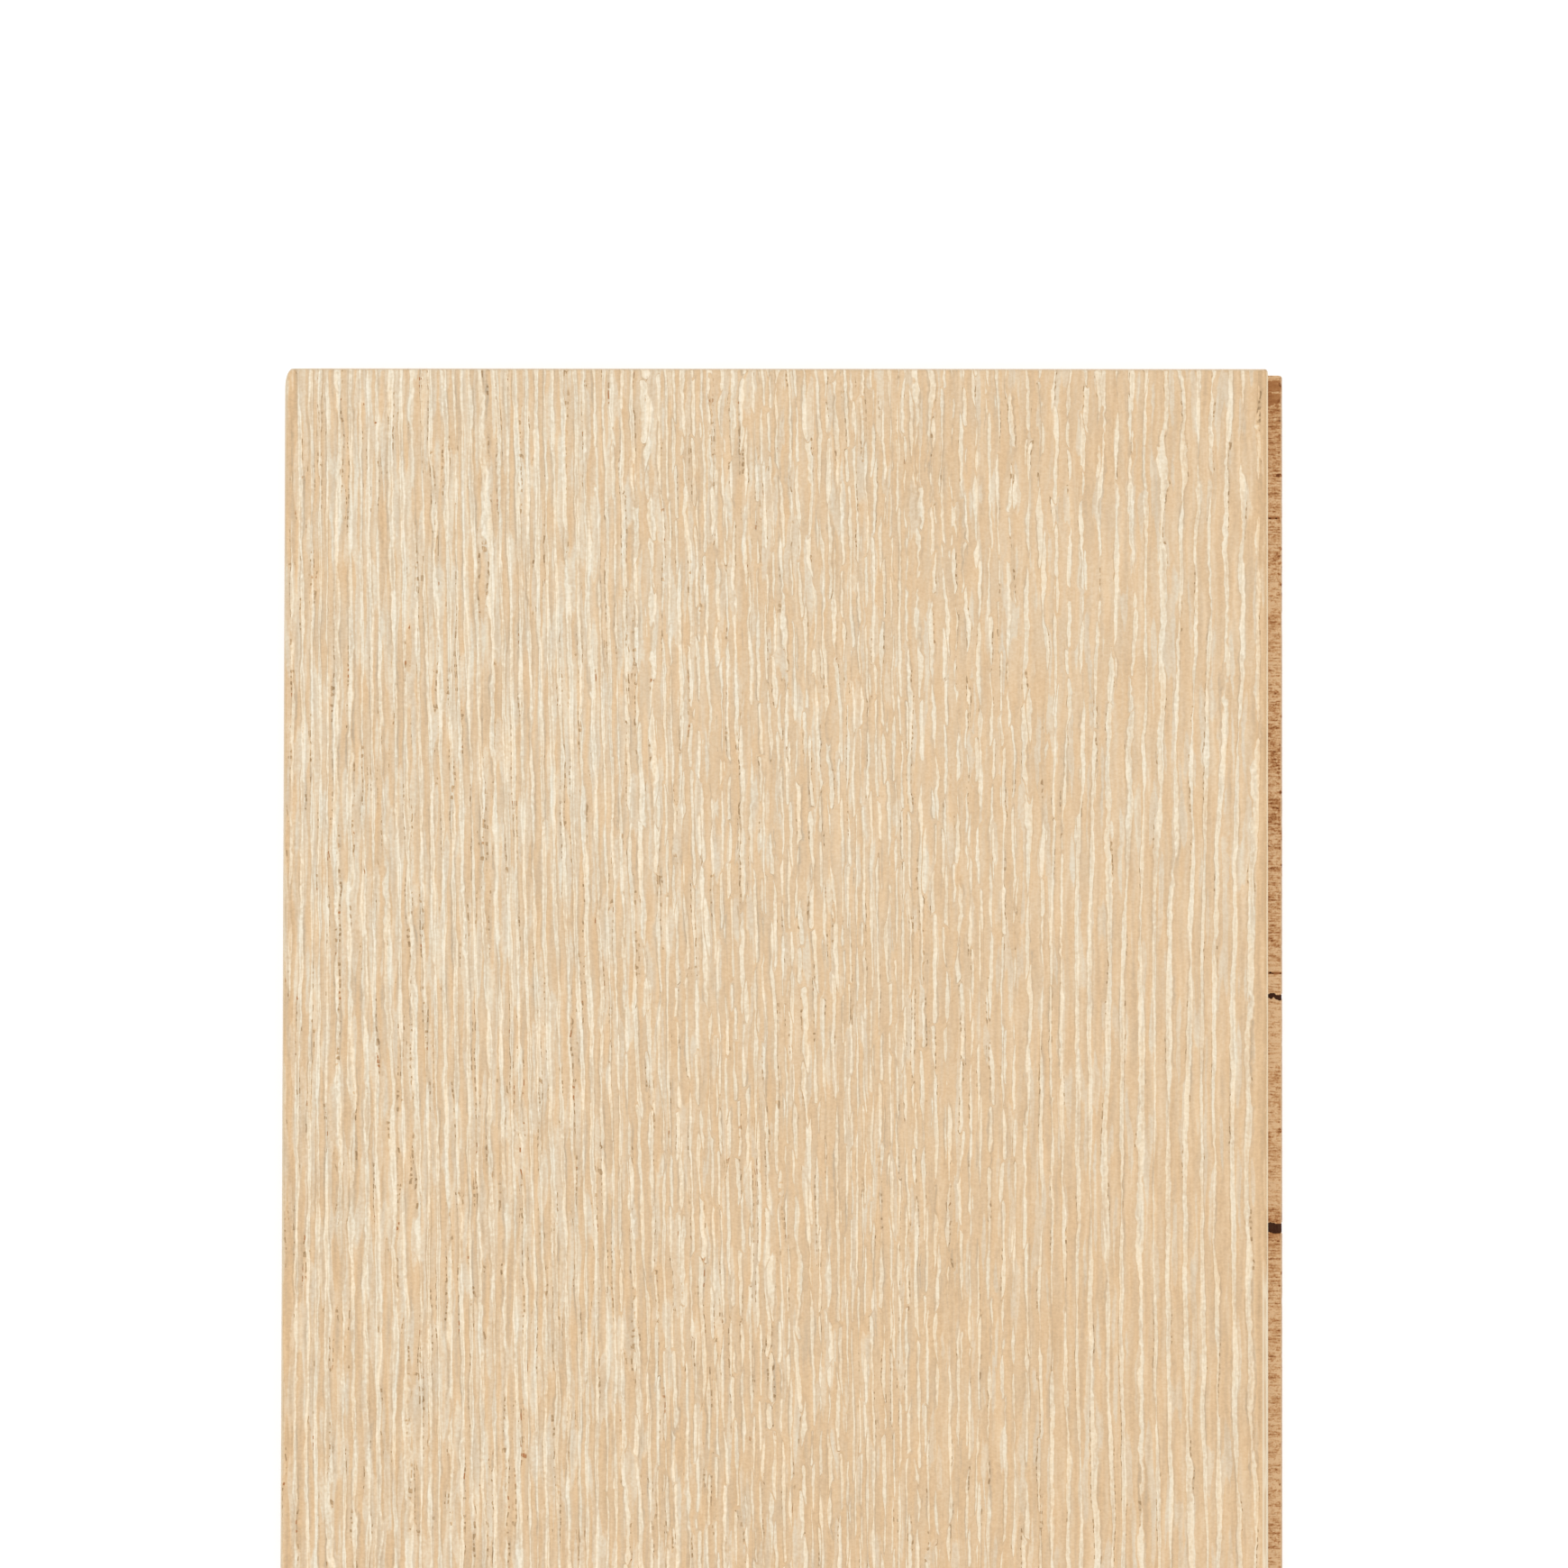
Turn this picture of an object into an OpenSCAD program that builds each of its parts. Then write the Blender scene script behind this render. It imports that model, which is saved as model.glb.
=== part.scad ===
// Engineered wood flooring board: an oak wear layer glued on a nine-ply
// hardwood core, with a tongue on one long side and a groove on the other.
// The board lies on its back ply. Length along Y, width along X, +Z up.
// Origin: bottom centre of the board's outer box, tongue included.

/* [Board] */
// Width of the walking face, without the tongue
face_w = 220; // [120:5:300]
// Length of the board
board_l = 2200; // [600:50:2400]
// Thickness of the nine-ply core
core_t = 11; // [9:0.5:14]
// Easing of the upright corners on the groove side, across the board
corner_groove_x = 1.8; // [0.8:0.2:3]
// Easing of the upright corners on the groove side, along the board
corner_groove_y = 4.2; // [0.8:0.2:5]
// Easing of the upright corners on the tongue side, across the board
corner_tongue_x = 0.6; // [0.4:0.2:2]
// Easing of the upright corners on the tongue side, along the board
corner_tongue_y = 1.2; // [0.4:0.2:3]

/* [Wear layer] */
// Thickness of the oak wear layer
wear_t = 4; // [2.5:0.5:6]
// Size of the bevel along the top edges of the oak
bevel = 0.6; // [0.3:0.1:1.2]

/* [Tongue and groove] */
// How far the tongue stands out of the long side
tongue_w = 4; // [3:0.5:6]
// How much deeper the groove is than the tongue is wide
groove_extra = 0.5; // [0.3:0.1:1]
// Gap left above and below the tongue in a groove
fit_gap = 0.1; // [0.05:0.05:0.2]
// Bevel on the outer edge of the tongue
tongue_bevel = 0.4; // [0.2:0.1:0.6]
// How far the tongue stops short of each end of the board
tongue_setback = 0.7; // [0:0.1:3]
// Radius of the tongue's upright corners
tongue_r = 0.6; // [0.4:0.1:1]

/* [Core sheets] */
// Place of the open joint between two core sheets, from the far end
joint_pos = 192.4; // [180:0.2:400]
// Width of that open joint
joint_w = 2.2; // [0.4:0.2:3]
// Width of the close joints further along
close_joint_w = 0.6; // [0.4:0.2:1]
// Place of the split in the tongue's veneer, from the far end
split_pos = 140.5; // [40:0.5:165]
// Width of the split
split_w = 1.2; // [0.5:0.1:1.5]

/* [Hidden] */
$fn = 48;
ply_n = 9;
ply_t = core_t / ply_n;
board_t = core_t + wear_t;
box_w = face_w + tongue_w;
// left side of the board, where the groove opens
x_left = -box_w / 2;
// right side of the walking face, where the tongue starts
x_face = x_left + face_w;
// outer edge of the tongue
x_tongue = box_w / 2;
y_end = board_l / 2;
groove_d = tongue_w + groove_extra;
// close joints in the rest of the length, from the far end
close_joints = [905, 1610];
oak = [0.89, 0.78, 0.63];
brown_long = [0.70, 0.53, 0.36];
brown_cross = [0.78, 0.61, 0.43];

// Bottom of ply i, counted from the top of the core
function ply_z(i) = core_t - i * ply_t;

// Rectangle from (x0, y0) to (x1, y1) with oval corners: l is the easing
// [across, along] of the two left corners, r that of the two right ones
module eased_plate(x0, x1, y0, y1, l, r) {
  translate([x0 + l[0], y0]) square([x1 - r[0] - x0 - l[0], y1 - y0]);
  translate([x0, y0 + l[1]]) square([l[0] + 1, y1 - y0 - 2 * l[1]]);
  translate([x1 - r[0] - 1, y0 + r[1]]) square([r[0] + 1, y1 - y0 - 2 * r[1]]);
  for (y = [y0 + l[1], y1 - l[1]]) translate([x0 + l[0], y]) scale(l) circle(1);
  for (y = [y0 + r[1], y1 - r[1]]) translate([x1 - r[0], y]) scale(r) circle(1);
}

// Outline of the whole board without its tongue
module board_outline() {
  eased_plate(x_left, x_face, -y_end, y_end, [corner_groove_x, corner_groove_y],
              [corner_tongue_x, corner_tongue_y]);
}

// Plain ply that fills the board's whole outline
module plain_ply(i) {
  translate([0, 0, ply_z(i)]) linear_extrude(ply_t)
    board_outline();
}

// Outline of a ply that stops at the groove's bottom and runs into the tongue
module tongue_outline() {
  difference() {
    board_outline();
    translate([x_left - 1, -y_end - 1]) square([groove_d + 1, board_l + 2]);
  }
  eased_plate(x_face - 3, x_tongue, -y_end + tongue_setback,
              y_end - tongue_setback, [tongue_r, tongue_r], [tongue_r, tongue_r]);
}

// Strip cut off the tongue's top (side 1) or bottom (side -1): the play in
// the groove, and the bevel on the outer edge
module tongue_trim(z, side) {
  b = tongue_bevel;
  translate([0, y_end + 1, z]) rotate([90, 0, 0]) linear_extrude(board_l + 2)
    polygon([[x_face, side * 1], [x_face, -side * fit_gap],
             [x_tongue - b, -side * fit_gap],
             [x_tongue + 0.2, -side * (fit_gap + b + 0.2)],
             [x_tongue + 0.2, side * 1]]);
}

// Ply that takes part in the tongue and the groove
module tongue_ply(i) {
  translate([0, 0, ply_z(i)]) linear_extrude(ply_t) tongue_outline();
}

// Crooked split in the veneer, running in from the tongue's edge
module split_outline() {
  w = split_w;
  y = y_end - split_pos;
  polygon([[x_tongue + 1, y + w * 0.78], [x_tongue - 0.13, y + w * 0.53],
           [x_tongue - 0.3, y + w * 0.35], [x_tongue - 1.45, y + w * 0.35],
           [x_tongue - 1.7, y + w * 0.68], [x_tongue - 2.8, y + w * 0.69],
           [x_face - 0.5, y + w * 0.5], [x_face - 4, y + w * 0.2],
           [x_face - 9, y + w * 0.1], [x_face - 14, y],
           [x_face - 9, y - w * 0.17], [x_face - 4, y - w * 0.25],
           [x_face - 0.5, y - w * 0.3], [x_tongue - 2.8, y - w * 0.39],
           [x_tongue - 2.35, y - w * 0.4], [x_tongue - 1.97, y - w * 0.05],
           [x_tongue - 1.5, y - w * 0.52], [x_tongue - 0.9, y - w * 0.6],
           [x_tongue - 0.75, y - w * 0.73], [x_tongue - 0.3, y - w * 0.73],
           [x_tongue - 0.1, y - w * 0.5], [x_tongue + 1, y - w * 0.45]]);
}

// Joint between two sheets of one ply, right across the board
module sheet_joint(pos, w) {
  translate([x_left - 1, y_end - pos - w / 2]) square([box_w + 2, w]);
}

module oak_wear_layer() {
  b = bevel;
  color(oak)
  translate([0, 0, core_t])
  intersection() {
    linear_extrude(wear_t) board_outline();
    // bevel along the two long edges
    translate([0, y_end + 1, 0]) rotate([90, 0, 0]) linear_extrude(board_l + 2)
      polygon([[x_left - 1, -1], [x_face + 1, -1],
               [x_face + 1, wear_t - b - 1], [x_face - b, wear_t],
               [x_left + b, wear_t], [x_left - 1, wear_t - b - 1]]);
    // bevel along the two ends
    translate([x_left - 1, 0, 0]) rotate([90, 0, 90]) linear_extrude(face_w + 2)
      polygon([[-y_end - 1, -1], [y_end + 1, -1],
               [y_end + 1, wear_t - b - 1], [y_end - b, wear_t],
               [-y_end + b, wear_t], [-y_end - 1, wear_t - b - 1]]);
  }
}

module core_ply_1() { color(brown_long) plain_ply(1); }

module core_ply_2() {
  color(brown_cross)
  difference() {
    translate([0, 0, ply_z(2)]) linear_extrude(ply_t) difference() {
      tongue_outline();
      sheet_joint(joint_pos, joint_w);
      for (p = close_joints) if (p < board_l - 50) sheet_joint(p, close_joint_w);
      split_outline();
    }
    tongue_trim(ply_z(1), 1);
  }
}

module core_ply_3() { color(brown_long) tongue_ply(3); }

module core_ply_4() { color(brown_cross) tongue_ply(4); }

module core_ply_5() {
  color(brown_long)
  difference() {
    tongue_ply(5);
    tongue_trim(ply_z(5), -1);
  }
}

module core_ply_6() { color(brown_cross) plain_ply(6); }

module core_ply_7() { color(brown_long) plain_ply(7); }

module core_ply_8() { color(brown_cross) plain_ply(8); }

module back_ply() { color(brown_long) plain_ply(9); }

oak_wear_layer();
core_ply_1();
core_ply_2();
core_ply_3();
core_ply_4();
core_ply_5();
core_ply_6();
core_ply_7();
core_ply_8();
back_ply();
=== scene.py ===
"""Engineered oak flooring board, lying flat, seen from straight above its far end.

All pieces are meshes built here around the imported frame: the limed, brushed oak wear layer
with its eased edges, and the nine veneers of the core with the milled tongue and groove.
Lengths in this file are millimetres until they are written to a mesh.
"""
import math

import bmesh
import bpy
import numpy as np
from mathutils import Euler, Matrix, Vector


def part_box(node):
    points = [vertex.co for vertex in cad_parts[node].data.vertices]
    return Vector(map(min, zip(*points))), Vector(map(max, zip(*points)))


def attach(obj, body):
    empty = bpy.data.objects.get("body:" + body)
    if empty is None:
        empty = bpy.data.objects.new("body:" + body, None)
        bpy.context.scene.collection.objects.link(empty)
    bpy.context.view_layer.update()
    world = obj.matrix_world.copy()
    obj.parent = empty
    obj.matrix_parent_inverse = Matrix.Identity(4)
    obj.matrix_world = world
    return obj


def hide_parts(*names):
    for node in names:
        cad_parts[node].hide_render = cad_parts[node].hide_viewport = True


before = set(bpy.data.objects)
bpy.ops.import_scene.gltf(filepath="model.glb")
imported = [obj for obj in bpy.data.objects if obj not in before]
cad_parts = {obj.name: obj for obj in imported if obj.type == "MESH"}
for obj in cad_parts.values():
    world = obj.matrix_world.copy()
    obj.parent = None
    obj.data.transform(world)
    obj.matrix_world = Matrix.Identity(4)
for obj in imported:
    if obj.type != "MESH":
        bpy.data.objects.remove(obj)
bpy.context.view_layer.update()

MM = 0.001
# ------------------------------------------------------------------ sizes, read from the frame
lo_oak, hi_oak = (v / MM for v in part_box("oak_wear_layer"))
lo_t, hi_t = (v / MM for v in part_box("core_ply_3"))
X0, X1 = lo_oak.x, hi_oak.x  # walking face, left and right
Y0, Y1 = lo_oak.y, hi_oak.y
Z_CORE, Z_TOP = lo_oak.z, hi_oak.z
X_TONGUE = hi_t.x
X_GROOVE = lo_t.x
PLY_T = Z_CORE / 9
CORNER_L = (1.8, 4.2)  # easing of the upright corners on the groove side, across and along the board
CORNER_T = (0.6, 1.2)  # the same on the tongue side
BEVEL = 0.6
TONGUE_BEVEL = 0.4
FIT_GAP = 0.1
SETBACK = 0.7
TONGUE_R = 0.6
JOINTS = [(192.4, 2.2), (905.0, 0.6), (1610.0, 0.6)]  # joints between the sheets of core_ply_2
SPLIT_AT, SPLIT_W = 140.5, 1.2
FOLDS = 8  # for the bake, long strips are cut into this many lengths, laid side by side in the map
PLY_NODES = ["core_ply_%d" % i for i in range(1, 9)] + ["back_ply"]


# ------------------------------------------------------------------ smooth seeded noise
def _hash(ix, iy, seed):
    h = (ix.astype(np.int64) * 374761393 + iy.astype(np.int64) * 668265263 + seed * 974711) & 0xFFFFFFFF
    h = ((h ^ (h >> 13)) * 1274126177) & 0xFFFFFFFF
    h = ((h ^ (h >> 16)) * 2246822519) & 0xFFFFFFFF
    return ((h ^ (h >> 15)) & 0xFFFFFF) / float(0xFFFFFF)


def noise(x, y, seed):
    """Gradient noise in about -1..1, one wave per unit."""
    x, y = np.broadcast_arrays(np.asarray(x, float), np.asarray(y, float))
    ix, iy = np.floor(x), np.floor(y)
    fx, fy = x - ix, y - iy
    total = 0.0
    for dx in (0, 1):
        for dy in (0, 1):
            a = 2 * math.pi * _hash(ix + dx, iy + dy, seed)
            g = np.cos(a) * (fx - dx) + np.sin(a) * (fy - dy)
            wx, wy = (fx if dx else 1 - fx), (fy if dy else 1 - fy)
            wx, wy = wx * wx * wx * (wx * (wx * 6 - 15) + 10), wy * wy * wy * (wy * (wy * 6 - 15) + 10)
            total = total + g * wx * wy
    return total * 1.5


def smooth(a, b, v):
    t = np.clip((np.asarray(v, float) - a) / (b - a), 0, 1)
    return t * t * (3 - 2 * t)


# ------------------------------------------------------------------ growth rings of the oak
# rings a millimetre across the board: close together on the left, wide apart on the right
_ring_x = np.linspace(-180.0, 180.0, 721)
_ring_f = np.interp(_ring_x, [-180, -80, -40, -5, 15, 30, 50, 72, 94, 102, 125, 180], [0.44, 0.44, 0.45, 0.47, 0.48, 0.45, 0.36, 0.275, 0.25, 0.30, 0.30, 0.24])
_ring_f = np.convolve(np.pad(_ring_f, 20, "edge"), np.ones(41) / 41, "valid")
_ring_n = np.concatenate([[0.0], np.cumsum((_ring_f[1:] + _ring_f[:-1]) / 2 * np.diff(_ring_x))])


def ring_at(x, y, depth):
    """Count of growth rings up to a point, which is 'depth' below the face. Rings lean a little."""
    s = Y1 - y
    right = smooth(-20, 80, x)
    wx = x + 0.30 * depth
    # the grain leans a little on the middle and left of the shown end, and winds further along
    wx = wx - smooth(-112, -60, x) * smooth(35, 5, x) * 4.6 * np.sin(2 * math.pi * s / 1100)
    wx = wx + 3.0 * noise(x / 190 + 3.1, s / 620, 11) + 1.3 * noise(x / 48, s / 260, 12)
    wx = wx + 1.0 * noise(x / 11, s / 300, 13) + 0.9 * noise(x / 5.2, s / 200, 14)
    wx = wx + 0.35 * smooth(0, -50, x) * noise(x / 2.7, s / 230, 17)  # uneven rings on the left
    top = smooth(130, 60, s)
    wx = wx + (0.15 + 0.55 * right) * noise(x / 6.3, s / 45, 15) + 0.34 * top * smooth(-40, 20, x) * noise(x / 3.4, s / 15, 16)
    wx = wx + smooth(35, 85, x) * (2.0 * smooth(20, 150, s) - 1.3 * smooth(180, 290, s) + 3.0 * np.sin(np.maximum(s - 290, 0) / 260))
    return 20 + np.interp(wx, _ring_x, _ring_n)


def lime_width(x, y):
    """Half width of the lime-filled band of each ring; under nought the band is broken off."""
    s = Y1 - y
    left = smooth(5, -70, x)
    right = smooth(45, 75, x)
    short = smooth(-35, 10, x) * smooth(72, 48, x)  # a zone of short strokes
    w = 0.44 - 0.05 * left + 0.08 * right - 0.02 * short
    w = w + (0.22 + 0.03 * left - 0.05 * right) * noise(x / 2.4, s / 60, 21)
    w = w + (0.26 - 0.13 * left) * noise(x / 1.9, s / 18, 22) + 0.28 * left * noise(x / 1.9, s / 9.5, 35) + 0.50 * short * noise(x / 1.9, s / 12.0, 28)
    w = w + 0.05 * noise(x / 26, s / 150, 23)
    # on the right the strokes are longer, and shorter again close to the shown end
    top = smooth(120, 40, s)
    w = w + smooth(20, 60, x) * ((1 - top) * 0.50 * noise(x / 2.2, s / 22, 29) + top * 0.75 * noise(x / 2.2, s / 13, 31) - 0.03)
    w = np.minimum(w, 0.37 + 0.30 * smooth(-15, -65, x) + 0.23 * right)
    # plain strips run along both long sides
    return w - 0.9 * np.maximum(smooth(105.8, 106.7, x), smooth(-110.2, -111.0, x))


def ring_spacing(x):
    return 1.0 / np.interp(x, _ring_x, _ring_f)


def groove_depth(x, y):
    """Brushed relief: the soft, lime-filled part of each ring lies a little low."""
    u = ring_at(x, y, 0)
    d = np.abs(u - np.floor(u) - 0.5) * ring_spacing(x)
    w = np.maximum(lime_width(x, y), 0) + 0.25
    soft = np.clip(1 - (d / w) ** 2, 0, 1)
    return 0.055 * soft * np.minimum(w, 1.0) + 0.02 * (0.5 + 0.5 * noise(x / 1.7, (Y1 - y) / 45, 25))


# ------------------------------------------------------------------ mesh helpers
def mesh_object(name, verts, faces, slots, materials, smooth_faces=None):
    me = bpy.data.meshes.new(name)
    me.from_pydata([tuple(v) for v in (np.asarray(verts, float) * MM)], [], faces)
    for m in materials:
        me.materials.append(m)
    if slots is not None:
        me.polygons.foreach_set("material_index", np.asarray(slots, np.int32))
    if smooth_faces is not None:
        me.polygons.foreach_set("use_smooth", np.asarray(smooth_faces, bool))
    me.update()
    ob = bpy.data.objects.new(name, me)
    bpy.context.scene.collection.objects.link(ob)
    return ob


def corner_inset(y, corner):
    """How far the upright corner's curve pulls the side in at this y."""
    rx, ry = corner
    dy = min(abs(y - Y0), abs(Y1 - y))
    if dy >= ry:
        return 0.0
    return rx * (1 - math.sqrt(max(1 - ((ry - dy) / ry) ** 2, 0.0)))


# ------------------------------------------------------------------ wear layer
def graded(total, near_step, near_len, far_step):
    """Distances from the far end: fine rows first, then growing, and fine again at the other end."""
    rows, s = [], 0.0
    while s < near_len:
        rows.append(s)
        s += near_step
    step = near_step
    while s < total - 40:
        rows.append(s)
        step = min(step * 1.06, far_step)
        s += step
    rest = total - rows[-1]
    n = max(int(rest / 6), 4)
    rows += [rows[-1] + rest * (i + 1) / n for i in range(n - 1)]
    return rows


def build_wear_layer(materials):
    # Eased bevel: distance in from the edge, and how far the surface lies below the face there.
    edge = [(0.0, BEVEL), (0.28, BEVEL - 0.29), (0.5, 0.085), (0.68, 0.02), (0.9, 0.0), (1.25, 0.0), (1.6, 0.0)]
    xs = [X0 + e for e, _ in edge]
    n = 340
    xs += [X0 + 1.6 + (X1 - X0 - 3.2) * i / n for i in range(1, n)]
    xs += [X1 - e for e, _ in reversed(edge)]
    ys = [e for e, _ in edge] + [2.1, 2.7, 3.4, 4.2]
    near = [s for s in graded(Y1 - Y0, 2.6, 262.0, 18.0) if 4.6 < s < (Y1 - Y0) - 4.6]
    ys = ys + near + [Y1 - Y0 - v for v in reversed(ys)]
    xs, ss = np.array(xs), np.array(ys)
    nx, ny = len(xs), len(ss)
    gx, gs = np.meshgrid(xs, ss, indexing="ij")
    gy = Y1 - gs
    drop_at, drops = [e for e, _ in edge], [d for _, d in edge]
    ex = np.minimum(gx - X0, X1 - gx)
    ey = np.minimum(gs, (Y1 - Y0) - gs)
    # Square corners become oval ones: a point keeps its share of the way from the oval's centre.
    on_left = gx - X0 < X1 - gx
    rx, ry = np.where(on_left, CORNER_L[0], CORNER_T[0]), np.where(on_left, CORNER_L[1], CORNER_T[1])
    ax, ay = np.clip(1 - ex / rx, 0, None), np.clip(1 - ey / ry, 0, None)
    k = np.where((ax > 0) & (ay > 0), np.maximum(ax, ay) / np.maximum(np.hypot(ax, ay), 1e-9), 1.0)
    sx, sy = np.where(on_left, -1, 1), np.where(gs < (Y1 - Y0) / 2, 1, -1)
    px = gx + sx * rx * ax * (k - 1)
    py = gy + sy * ry * ay * (k - 1)
    inward = np.minimum(ex, ey)
    drop = np.interp(inward, drop_at, drops)
    relief = groove_depth(px, py) * smooth(0.3, 1.6, inward)
    pz = Z_TOP - drop - relief
    # A worked edge is never quite even.
    wob = 0.05 * noise(px / 9 + py / 23, 5.5, 31) * (inward > 0.1) * (inward < 0.8)
    pz = np.minimum(pz + wob, Z_TOP)
    verts = np.stack([px, py, pz], -1).reshape(-1, 3).tolist()
    idx = np.arange(nx * ny).reshape(nx, ny)
    a, b, c, d = idx[:-1, :-1], idx[1:, :-1], idx[1:, 1:], idx[:-1, 1:]
    quads = np.stack([a, d, c, b], -1).reshape(-1, 4)
    faces = [tuple(q) for q in quads.tolist()]
    kinds = ["top"] * len(faces)
    # Sides: from the bevel's foot down to the core, then the underside.
    ring = list(idx[:, 0]) + list(idx[-1, 1:]) + list(idx[-2::-1, -1]) + list(idx[0, -2:0:-1])
    levels = [Z_CORE + 2.2, Z_CORE]
    prev = ring
    for z in levels:
        base = len(verts)
        for r in ring:
            verts.append([verts[r][0], verts[r][1], z])
        cur = list(range(base, base + len(ring)))
        for i in range(len(ring)):
            j = (i + 1) % len(ring)
            faces.append((prev[i], prev[j], cur[j], cur[i]))
            kinds.append("side")
        prev = cur
    faces.append(tuple(prev))
    kinds.append("bottom")
    slots = [0 if k == "top" else 1 for k in kinds]
    ob = mesh_object("oak_wear_layer_finished", verts, faces, slots, materials, [k == "top" for k in kinds])
    me = ob.data
    co = np.array(verts)
    ring_field = ring_at(co[:, 0], co[:, 1], Z_TOP - co[:, 2])
    width_field = lime_width(co[:, 0], co[:, 1])
    for name, field in (("ring", ring_field), ("lime", width_field), ("gap", ring_spacing(co[:, 0]))):
        att = me.attributes.new(name, "FLOAT", "POINT")
        att.data.foreach_set("value", field.astype(np.float32))
    # Map for the bake: the face takes most of it, with the side and end strips beside it.
    uv = me.uv_layers.new(name="OFBake")
    along = lambda y: 0.01 + 0.98 * (y - Y0) / (Y1 - Y0)
    for p, kind in zip(me.polygons, kinds):
        nrm = p.normal
        for li in p.loop_indices:
            x, y, z = co[me.loops[li].vertex_index]
            if kind == "top":
                q = (0.01 + 0.86 * (x - X0) / (X1 - X0), along(y))
            elif kind == "bottom":
                q = (0.975 + 0.015 * (x - X0) / (X1 - X0), along(y))
            else:
                t = (z - Z_CORE) / (Z_TOP - Z_CORE)
                if abs(nrm.x) >= abs(nrm.y):
                    q = ((0.88 if nrm.x > 0 else 0.905) + 0.02 * t, along(y))
                else:
                    q = (0.93 + 0.04 * t, (0.01 if nrm.y > 0 else 0.51) + 0.48 * (x - X0) / (X1 - X0))
            uv.data[li].uv = q
    return ob


# ------------------------------------------------------------------ core veneers
def split_outline():
    """Crooked split in core_ply_2, running in from the tongue's outer edge."""
    w, y = SPLIT_W, Y1 - SPLIT_AT
    xf, xt = X1, X_TONGUE
    top = [(xt + 1, 0.80), (xt + 0.15, 0.76), (xt - 0.13, 0.53), (xt - 0.3, 0.35), (xt - 1.0, 0.33), (xt - 1.45, 0.35),
           (xt - 1.65, 0.64), (xt - 2.0, 0.71), (xt - 2.8, 0.69), (xt - 3.05, 0.46), (xf + 0.6, 0.56), (xf - 0.5, 0.5),
           (xf - 4, 0.2), (xf - 9, 0.1)]
    low = [(xf - 9, -0.17), (xf - 4, -0.25), (xf - 0.5, -0.3), (xf + 0.7, -0.22), (xt - 2.95, -0.22), (xt - 2.8, -0.40),
           (xt - 2.35, -0.42), (xt - 1.97, -0.05), (xt - 1.5, -0.52), (xt - 1.0, -0.58), (xt - 0.8, -0.74), (xt - 0.3, -0.74),
           (xt - 0.1, -0.5), (xt + 1, -0.45)]
    return [(x, y + w * v) for x, v in top] + [(xf - 13.9, y)] + [(x, y + w * v) for x, v in low]


def joint_outline():
    """Open joint in core_ply_2: straight under the oak, with crumbled corners on the tongue."""
    s0, s1 = JOINTS[0][0] - JOINTS[0][1] / 2, JOINTS[0][0] + JOINTS[0][1] / 2
    near = [(X_GROOVE - 1, 0), (X1 + 0.4, 0), (X1 + 0.95, -0.12), (X1 + 1.3, -0.30), (X1 + 1.5, -0.12), (X1 + 2.25, -0.08),
            (X1 + 2.4, 0.11), (X1 + 3.3, 0.10), (X_TONGUE - 0.25, 0.14), (X_TONGUE + 1, 0.10)]
    away = [(X_TONGUE + 1, -0.16), (X_TONGUE - 0.25, -0.14), (X_TONGUE - 0.45, 0.09), (X1 + 2.7, 0.13), (X1 + 1.85, 0.10),
            (X1 + 1.65, -0.08), (X1 + 1.2, -0.10), (X1 + 0.95, -0.28), (X1 + 0.4, 0), (X_GROOVE - 1, 0)]
    return [(x, Y1 - s0 - v) for x, v in near] + [(x, Y1 - s1 - v) for x, v in away]


def strip_rows(s0, s1, tongue, fine):
    """Distances from the far end at which a veneer has a row of points."""
    rows = {round(s0, 4), round(s1, 4)}
    total = Y1 - Y0
    for end in (0, 1):
        for a in range(0, 91, 15):
            c = 1 - math.cos(math.radians(a))
            for v in ([CORNER_T[1] * c, SETBACK + TONGUE_R * c] if tongue else [CORNER_L[1] * c, CORNER_T[1] * c]):
                v = v if end == 0 else total - v
                if s0 < v < s1:
                    rows.add(round(v, 4))
    for v in [total * k / FOLDS for k in range(1, FOLDS)] + [s0 + 0.25, s0 + 0.5, s1 - 0.5, s1 - 0.25]:
        if s0 + 0.2 < v < s1 - 0.2:
            rows.add(round(v, 4))
    s = s0
    while s < s1:
        step = fine if s < 245 else (4.0 if tongue else 25.0)
        s += step
        if s < s1 - 0.2:
            rows.add(round(s, 4))
    return sorted(rows)


def tongue_edge(s, seed, rough):
    """Outer edge of the tongue: mostly straight, with a little tear-out from the cutter."""
    v = 0.03 * max(noise(s / 1.9, 0.5, seed), 0) + 0.03 * max(noise(s / 0.8, 2.5, seed + 1), 0)
    v += 0.30 * max(float(noise(s / 3.3, 7.5, seed + 2)) - 0.55, 0)
    return float(v) * rough


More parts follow.
